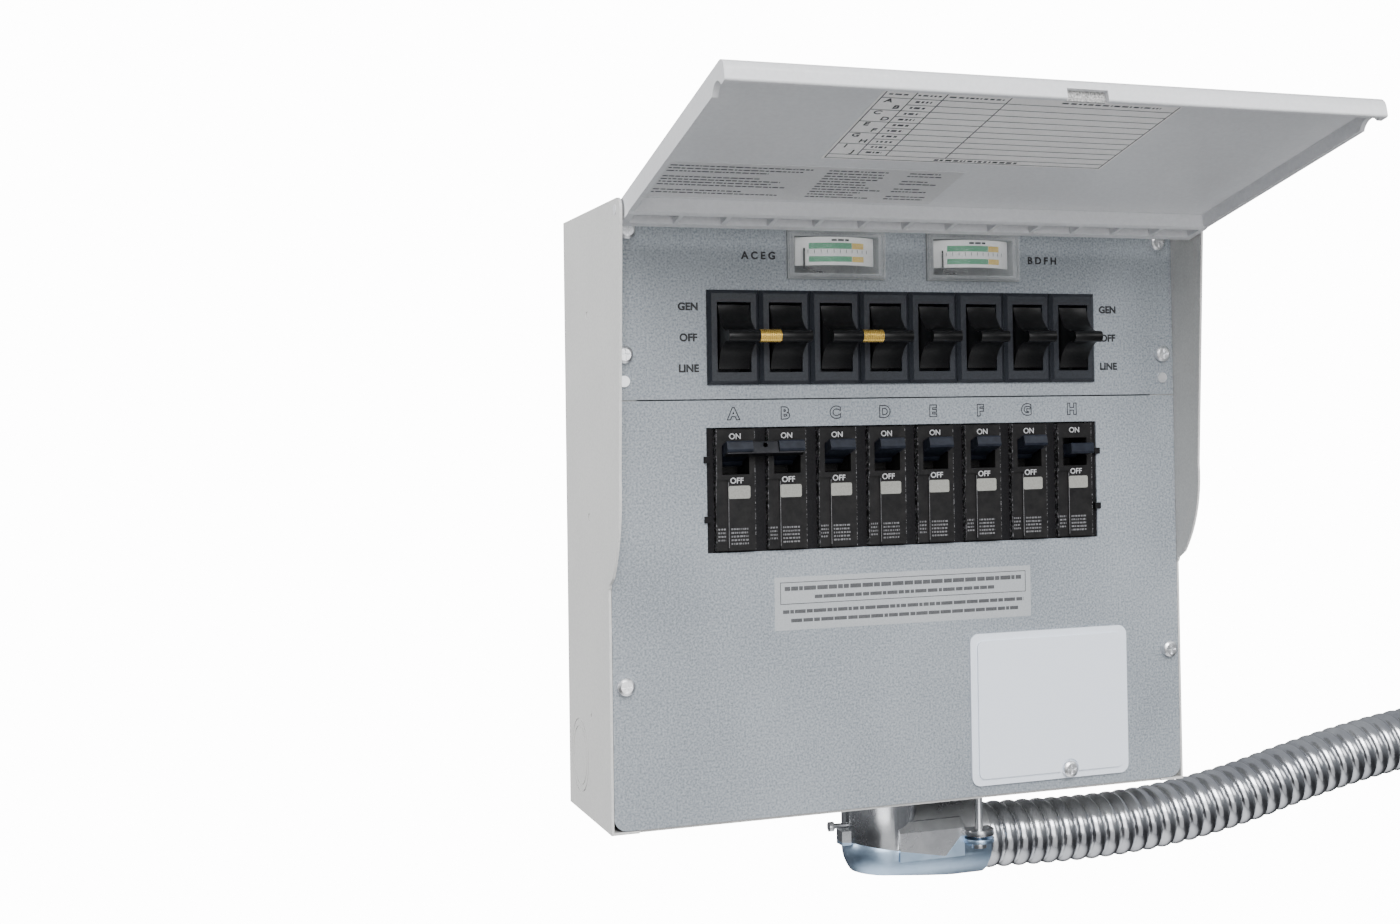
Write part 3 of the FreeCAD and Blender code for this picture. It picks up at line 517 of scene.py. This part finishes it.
def evenly(path, gap):
    """The path resampled at an even gap, with the distance of each point along it."""
    spots = []
    travelled = 0.0
    due = 0.0
    for start, end in zip(path, path[1:]):
        length = (end - start).length
        while due <= travelled + length and length > 0:
            spots.append((start.lerp(end, (due - travelled) / length), due))
            due += gap
        travelled += length
    spots.append((path[-1].copy(), travelled))
    return spots


def strip_profile(turn):
    """The depth below the crest, as a share of RIB_DEPTH: a round rib, then a narrow groove."""
    share = turn % 1.0
    if share < RIB_SHARE:
        return RIB_FALL * (2 * share / RIB_SHARE - 1) ** 2
    inside = (share - RIB_SHARE) / (1 - RIB_SHARE)
    return RIB_FALL + GROOVE_FALL * math.sin(math.pi * inside)


def make_conduit():
    """Interlocked flexible conduit: one helical strip wound along the route."""
    path = smooth_path(ROUTE, 24)
    spots = evenly(path, RIB_PITCH / RINGS_PER_RIB)
    made = bmesh.new()
    rings = []
    up = Vector((0, 0, 1))
    for index, (place, travelled) in enumerate(spots):
        ahead = spots[min(index + 1, len(spots) - 1)][0] - spots[max(index - 1, 0)][0]
        ahead.normalize()
        right = ahead.cross(up).normalized()
        over = right.cross(ahead)
        ring = []
        for side in range(CONDUIT_SIDES):
            angle = 2 * math.pi * side / CONDUIT_SIDES
            turn = travelled / RIB_PITCH + side / CONDUIT_SIDES
            depth = RIB_DEPTH * strip_profile(turn)
            radius = CONDUIT_RADIUS - depth
            spot = place + (right * math.cos(angle) + over * math.sin(angle)) * radius
            ring.append(made.verts.new(spot))
        rings.append(ring)
    close_tube(made, rings)
    mesh = finish_mesh(made, "conduit_strip", outward=True)
    item = add_piece("conduit_strip", mesh, conduit_steel(), smooth=True)
    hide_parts("conduit")


# --- Box, covers and fasteners ---------------------------------------------------------------

PLATE_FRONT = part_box("switch_panel")[0].y


def make_box():
    """Paint for the box, both covers, the blank plate and the fasteners."""
    coat = speckled("box_paint", (0.54, 0.54, 0.53), (0.62, 0.62, 0.605), 0.5, 900, 0.00002)
    assign("enclosure", coat)
    face = speckled("face_paint", (0.155, 0.175, 0.198), (0.34, 0.37, 0.402), 0.48, 1000, 0.00003)
    assign("switch_panel", face)
    assign("breaker_cover", face)
    plate = speckled("plate_plastic", (0.74, 0.79, 0.87), (0.79, 0.84, 0.92), 0.42, 2200, 0.00001)
    assign("inlet_cover_plate", plate)
    soften("inlet_cover_plate", 0.5 * MM)
    zinc = metal("bright_zinc", (0.80, 0.82, 0.85), (0.95, 0.95, 0.96), 0.32, 1500)
    assign("cover_screws", zinc)
    assign("snap_rivets", zinc)
    soften("cover_screws", 0.25 * MM)
    soften("snap_rivets", 0.8 * MM)


def make_caution_film():
    """The plain film under the window, with ruled marks in place of its text."""
    ink = speckled("film_ink", (0.05, 0.052, 0.056), (0.08, 0.082, 0.086), 0.6)
    film = speckled("film_clear", (0.33, 0.345, 0.36), (0.40, 0.415, 0.43), 0.35, 1300, 0.00002)
    left, right = -70 * MM, 64 * MM
    top, bottom = -30.5 * MM, -55.5 * MM
    skin = (PLATE_FRONT - 0.06 * MM, PLATE_FRONT)
    slabs("caution_film", [((left, right), skin, (bottom, top))], film)
    print_depth = (PLATE_FRONT - 0.09 * MM, PLATE_FRONT - 0.06 * MM)
    spans = []
    frame_left, frame_right = -67.2 * MM, 61.3 * MM
    frame_top, frame_bottom = -32.9 * MM, -43.0 * MM
    line = 0.35 * MM
    for height in (frame_top, frame_bottom):
        spans.append(((frame_left, frame_right), print_depth, (height - line, height)))
    for across in (frame_left, frame_right - line):
        spans.append(((across, across + line), print_depth, (frame_bottom, frame_top)))
    rng = random.Random(4)
    rows = (
        (-35.0, 2.0, -65.0, 59.0),
        (-39.4, 1.7, -50.0, 44.0),
        (-46.0, 1.7, -66.0, 60.0),
        (-50.2, 1.7, -62.0, 57.0),
    )
    for height, tall, start, end in rows:
        for low, high in word_marks(rng, start * MM, end * MM, 6.5 * MM, 0.5 * MM):
            spans.append(((low, high), print_depth, ((height - tall) * MM, height * MM)))
    slabs("caution_marks", spans, ink)


# --- Lid -------------------------------------------------------------------------------------

LID_HINGE = Vector(JOINTS["lid_hinge"]["pos_m"])
LID_OPEN = math.radians(-12.7)
LID = Matrix.Translation(LID_HINGE) @ Matrix.Rotation(LID_OPEN, 4, "X")
# The inside of the lid's skin, above the hinge axis, and the face of the sheets stuck to it.
LID_INSIDE = 0.5 * MM
LABEL_FACE = LID_INSIDE - 0.2 * MM


def lid_marks(name, spans, paint):
    """Printing on the lid's sheets; each span is ((x, x), (out, out)) in millimetres."""
    depth = (LABEL_FACE - 0.05 * MM, LABEL_FACE)
    solids = []
    for (left, right), (near, far) in spans:
        solids.append(((left * MM, right * MM), (-far * MM, -near * MM), depth))
    slabs(name, solids, paint, "lid", LID)


# The directory, in millimetres out from the hinge: its edges, heading, foot and row height.
DIRECTORY_NEAR, DIRECTORY_FAR = 73.0, 148.2
DIRECTORY_HEADING = 8.0
DIRECTORY_FOOT = 5.0
DIRECTORY_LETTERS = "ABCDEFGHIJ"
DIRECTORY_ROWS = len(DIRECTORY_LETTERS)
DIRECTORY_STEP = (
    DIRECTORY_FAR - DIRECTORY_NEAR - DIRECTORY_HEADING - DIRECTORY_FOOT
) / DIRECTORY_ROWS


def directory_out(rows):
    """How far out from the hinge a number of rows below the heading is."""
    return DIRECTORY_FAR - DIRECTORY_HEADING - rows * DIRECTORY_STEP


def make_directory():
    """The ruled circuit directory: a heading, ten rows and four columns with marks for text."""
    left, right = -76.0, 56.0
    near, far = DIRECTORY_NEAR, DIRECTORY_FAR
    line = 0.5
    spans = [((left, right), (near, near + line)), ((left, right), (far - line, far))]
    for across in (left, right - line):
        spans.append(((across, across + line), (near, far)))
    columns = (-63.0, -50.0, -22.0)
    for row in range(DIRECTORY_ROWS + 1):
        out = directory_out(row)
        start = left if row % 2 == 0 else left + 13
        spans.append(((start, right), (out - line, out)))
    for across in columns:
        spans.append(((across, across + line), (near + DIRECTORY_FOOT, far)))
    rng = random.Random(11)
    for across, width in ((left + 2, 9), (-61.5, 10), (-48, 24), (2, 46)):
        for low, high in word_marks(rng, across, across + width, 3.0, 0.8):
            spans.append(((low, high), (far - 5.2, far - 3.9)))
    for row in range(DIRECTORY_ROWS):
        out = directory_out(row + 0.5)
        for low, high in word_marks(rng, -60.0, -53.0, 2.6, 0.8):
            spans.append(((low, high), (out - 0.9, out + 0.9)))
    for low, high in word_marks(rng, -26.0, 14.0, 3.0, 0.8):
        spans.append(((low, high), (near + 1.4, near + 3.2)))
    return spans


def make_rating_sheet():
    """Dense rows of marks in two columns, in place of the rating text."""
    rng = random.Random(23)
    spans = []
    columns = ((-139.0, -74.0), (-68.0, -34.0), (-30.0, -10.0))
    for row in range(11):
        out = 57.5 - row * 3.3
        for index, (start, end) in enumerate(columns):
            if rng.random() < 0.14 or (index == 2 and row % 3 == 2):
                continue
            finish = start + (end - start) * rng.uniform(0.6, 1.0)
            for low, high in word_marks(rng, start, finish, 3.4, 0.5):
                spans.append(((low, high), (out - 0.6, out + 0.5)))
    return spans


def make_lid():
    """The white lid, its two printed sheets and the foil patch behind its finger notch."""
    lid = speckled("lid_plastic", (0.65, 0.657, 0.675), (0.70, 0.707, 0.725), 0.36, 500, 0.00001)
    assign("lid", lid)
    soften("lid", 0.7 * MM)
    sheet = speckled("sheet_film", (0.80, 0.785, 0.78), (0.88, 0.865, 0.86), 0.5, 800, 0.00001)
    assign("lid_directory_label", sheet)
    rating = speckled("rating_film", (0.56, 0.56, 0.57), (0.62, 0.62, 0.63), 0.3, 800, 0.00001)
    assign("lid_rating_label", rating)
    ink = speckled("label_ink", (0.035, 0.035, 0.04), (0.06, 0.06, 0.065), 0.6)
    lid_marks("directory_marks", make_directory(), ink)
    for row, letter in enumerate(DIRECTORY_LETTERS):
        across = -71.5 if row % 2 == 0 else -66.0
        out = directory_out(row + 0.5)
        place = LID @ Matrix.Translation((across * MM, -out * MM, LABEL_FACE - PRINT_LIFT))
        name = f"directory_letter_{letter.lower()}"
        lettering(name, letter, place @ Matrix.Rotation(math.pi, 4, "X"), 3.6 * MM, ink, body="lid")
    lid_marks("rating_marks", make_rating_sheet(), ink)
    foil = Paint("foil_patch", roughness=0.5)
    speck = foil.noise(1600.0, 5.0, 0.8)
    foil.colours(speck, (0.10, 0.10, 0.10), (0.55, 0.55, 0.54), 0.42, 0.58)
    foil.bump(speck, 0.0001)
    patch = ((-5.9 * MM, 12.3 * MM), (-160.3 * MM, -159.2 * MM), (-5.7 * MM, 0.4 * MM))
    slabs("notch_patch", [patch], foil, "lid", LID)


# --- Switches --------------------------------------------------------------------------------


def make_switches():
    """Bevelled slate frames, black rockers and brass sleeves, with the printed legends."""
    slate = (0.012, 0.014, 0.019), (0.020, 0.024, 0.031)
    black = (0.0035, 0.0035, 0.004), (0.006, 0.006, 0.0065)
    body = speckled("switch_slate", *slate, 0.42, 1500, 0.00002, Specular_IOR_Level=0.35)
    lever = speckled("rocker_black", *black, 0.34, 1200, 0.00002, Specular_IOR_Level=0.2)
    sleeve = brass()
    for letter in LETTERS:
        assign(f"switch_body_{letter}", body)
        assign(f"rocker_{letter}", lever)
        soften(f"rocker_{letter}", 0.35 * MM, 40.0)
        soften(f"switch_body_{letter}", 0.25 * MM, 25.0)
    for pair in ("ab", "cd"):
        assign(f"rocker_tie_{pair}", sleeve)
    ink = speckled("panel_ink", (0.004, 0.0045, 0.006), (0.010, 0.011, 0.013), 0.5)
    front = PLATE_FRONT - PRINT_LIFT
    for side, across in (("left", -110.2), ("right", 110.2)):
        for words, height in (("GEN", 96.7), ("OFF", 82.3), ("LINE", 68.0)):
            place = (across * MM, front, height * MM)
            legend(f"legend_{side}_{words.lower()}", words, place, 3.5 * MM, ink, weight=0.2 * MM)
    for side, words, across in (("left", "A C E G", -75.5), ("right", "B D F H", 73.6)):
        place = (across * MM, front, 121 * MM)
        legend(f"legend_meter_{side}", words, place, 3.5 * MM, ink, weight=0.17 * MM)
    for letter in LETTERS:
        place = (mid(f"breaker_{letter}").x, front, 46.6 * MM)
        name = f"circuit_letter_{letter}"
        legend(name, letter.upper(), place, 5.3 * MM, ink, weight=0.36 * MM, outline=True)


# --- Breakers --------------------------------------------------------------------------------


def rounded_tag(across, height, half_wide, half_tall, corner, depth):
    """The outline of a plate with round corners, as front and back rings of points."""
    points = []
    for index, (side, up) in enumerate(((1, 1), (-1, 1), (-1, -1), (1, -1))):
        for step in range(6):
            angle = math.pi / 2 * (index + step / 5)
            x = across + side * (half_wide - corner) + corner * math.cos(angle)
            z = height + up * (half_tall - corner) + corner * math.sin(angle)
            points.append((x, z))
    front = [(x, depth[0], z) for x, z in points]
    back = [(x, depth[1], z) for x, z in points]
    return front, back


def make_tags(paint):
    """A pale rounded rating tag on every breaker."""
    made = bmesh.new()
    front_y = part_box("breaker_a")[0].y
    for letter in LETTERS:
        across = mid(f"breaker_{letter}").x + 1.6 * MM
        depth = (front_y - 0.12 * MM, front_y)
        rings = rounded_tag(across, 10.3 * MM, 5.3 * MM, 3.0 * MM, 0.9 * MM, depth)
        front, back = [[made.verts.new(point) for point in ring] for ring in rings]
        made.faces.new(front)
        made.faces.new(reversed(back))
        for index in range(len(front)):
            after = (index + 1) % len(front)
            made.faces.new((front[index], back[index], back[after], front[after]))
    add_piece("rating_tags", finish_mesh(made, "rating_tags", outward=True), paint)


def make_breakers():
    """Scuffed charcoal breakers, slate toggles, tags, legends and small marks for text."""
    moulding = breaker_plastic()
    toggle = Paint("toggle_slate", roughness=0.34, Specular_IOR_Level=0.2)
    toggle.colours(toggle.noise(260.0, 4.0), (0.007, 0.009, 0.015), (0.016, 0.020, 0.030))
    toggle.gloss(toggle.noise(500.0), 0.28, 0.45)
    toggle.bump(toggle.noise(1200.0), 0.00002)
    for letter in LETTERS:
        assign(f"breaker_{letter}", moulding)
        assign(f"breaker_handle_{letter}", toggle)
        soften(f"breaker_handle_{letter}", 0.3 * MM, 40.0)
        soften(f"breaker_{letter}", 0.3 * MM, 40.0)
    black = (0.004, 0.004, 0.005), (0.009, 0.009, 0.010)
    shroud = speckled("shroud_black", *black, 0.6, Specular_IOR_Level=0.12)
    assign("breaker_shroud", shroud)
    clip = metal("clip_steel", (0.012, 0.013, 0.015), (0.035, 0.035, 0.038), 0.42, 700)
    assign("breaker_tie_ab", clip)
    soften("breaker_tie_ab", 0.25 * MM)
    assign("breaker_rail", metal("rail_steel", (0.45, 0.46, 0.48), (0.6, 0.61, 0.63), 0.4))

    tag = speckled("tag_beige", (0.22, 0.22, 0.20), (0.29, 0.29, 0.265), 0.5, 1800)
    make_tags(tag)
    white = speckled("nose_print", (0.38, 0.38, 0.39), (0.54, 0.54, 0.55), 0.5, 2600)
    dim = speckled("nose_fine_print", (0.06, 0.06, 0.063), (0.20, 0.20, 0.21), 0.5, 2600)
    front_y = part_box("breaker_a")[0].y
    rng = random.Random(7)
    fine = []
    for letter in LETTERS:
        across = mid(f"breaker_{letter}").x
        for words, height, shift in (("ON", 36.2, -0.2), ("OFF", 15.6, 0.4)):
            place = (across + shift * MM, front_y - PRINT_LIFT, height * MM)
            legend(f"nose_{words.lower()}_{letter}", words, place, 2.7 * MM, white, weight=0.07 * MM)
        depth = (front_y - 0.05 * MM, front_y)
        sunk = (front_y + 0.95 * MM, front_y + 1.0 * MM)
        for row in range(5):
            height = (-6.4 - row * 1.7) * MM
            up = (height - 0.8 * MM, height)
            start, end = across - 2.6 * MM, across + 5.8 * MM
            for low, high in word_marks(rng, start, end, 1.5 * MM, 0.4 * MM):
                fine.append(((low, high), depth, up))
            if row < 4:
                start, end = across - 8.6 * MM, across - 5.0 * MM
                for low, high in word_marks(rng, start, end, 1.2 * MM, 0.4 * MM):
                    fine.append(((low, high), sunk, up))
        edge = (across - 3.8 * MM, across - 3.55 * MM)
        fine.append((edge, depth, (-15.5 * MM, 15.0 * MM)))
    slabs("nose_fine_marks", fine, dim)


# --- Meters ----------------------------------------------------------------------------------


def arc_strip(made, pivot, radius, angles, heights, thickness):
    """A thin curved bar on a cylinder round an upright axis."""
    steps = 14
    rings = []
    for step in range(steps + 1):
        angle = angles[0] + (angles[1] - angles[0]) * step / steps
        ahead = Vector((math.sin(angle), -math.cos(angle), 0))
        ring = []
        outer = radius + thickness
        for reach, height in ((radius, 0), (outer, 0), (outer, 1), (radius, 1)):
            spot = pivot + ahead * reach
            spot.z = heights[height]
            ring.append(made.verts.new(spot))
        rings.append(ring)
    close_tube(made, rings)


# The marks on a dial: their distance from the needle's axis, and how thick they are.
DIAL_RADIUS = 29.8 * MM
DIAL_PRINT = 0.08 * MM


def arc_marks(name, bars, paint):
    """Curved bars on both dials; each is ((angle, angle), (low, high)), degrees and mm."""
    made = bmesh.new()
    for side in ("left", "right"):
        pivot = Vector(JOINTS[f"needle_{side}_swing"]["pos_m"])
        height = pivot.z
        for angles, (low, high) in bars:
            turned = [math.radians(angle) for angle in angles]
            heights = (height + low * MM, height + high * MM)
            arc_strip(made, pivot, DIAL_RADIUS, turned, heights, DIAL_PRINT)
    add_piece(name, finish_mesh(made, name, outward=True), paint)


def make_meters():
    """Grey housings, white dials with green and amber bands, needles and clear covers."""
    assign("meter_housings", speckled("meter_shell", (0.24, 0.25, 0.26), (0.32, 0.33, 0.34), 0.3))
    assign("meter_dials", speckled("dial_white", (0.90, 0.90, 0.89), (0.94, 0.94, 0.93), 0.5))
    needle = speckled("needle_black", (0.02, 0.02, 0.02), (0.035, 0.03, 0.03), 0.4)
    assign("meter_needle_left", needle)
    assign("meter_needle_right", needle)
    assign("meter_lenses", clear_cover())
    soften("meter_lenses", 0.5 * MM)
    green = speckled("band_green", (0.05, 0.30, 0.14), (0.07, 0.38, 0.19), 0.5)
    amber = speckled("band_amber", (0.75, 0.50, 0.06), (0.85, 0.60, 0.10), 0.5)
    ink = speckled("dial_ink", (0.02, 0.02, 0.02), (0.04, 0.04, 0.04), 0.5)
    arc_marks("dial_green_bands", [((-29, 12), (2.6, 5.4)), ((-29, 12), (-3.6, -1.0))], green)
    arc_marks("dial_amber_bands", [((12.4, 26), (2.6, 5.4)), ((12.4, 26), (-3.6, -1.0))], amber)
    ticks = [((angle, angle + 0.5), (0.6, 2.2)) for angle in range(-30, 31, 6)]
    words = [((-8, -3), (6.2, 7.2)), ((-2, 4), (6.2, 7.2)), ((5, 9), (6.2, 7.2))]
    arc_marks("dial_ticks", ticks + words, ink)


# --- Connector -------------------------------------------------------------------------------


def make_connector():
    """The cast body and bluish cap, plated screws and locknut, and the cast end fitting."""
    cast = metal("cast_zinc", (0.42, 0.43, 0.45), (0.62, 0.63, 0.65), 0.24, 90, 0.00001)
    cap = metal("cap_zinc", (0.42, 0.57, 0.76), (0.58, 0.74, 0.93), 0.34, 120, 0.00001)
    plated = metal("plated_steel", (0.45, 0.46, 0.48), (0.70, 0.71, 0.73), 0.3, 900)
    assign("connector_body", cast)
    assign("connector_cap", cap)
    assign("connector_screws", plated)
    assign("connector_locknut", plated)
    assign("conduit_end_fitting", cast)
    for node in ("connector_body", "connector_cap", "conduit_end_fitting"):
        soften(node, 0.8 * MM)
    soften("connector_screws", 0.3 * MM)


def make_terminal_bars():
    """Brass bars inside the box."""
    bar = metal("bar_brass", (0.55, 0.40, 0.12), (0.75, 0.58, 0.22), 0.35)
    assign("neutral_bar", bar)
    assign("ground_bar", bar)


make_camera()
make_conduit()
make_lights()
make_surround()
make_floor()
make_box()
make_caution_film()
make_lid()
make_switches()
make_breakers()
make_meters()
make_connector()
make_terminal_bars()
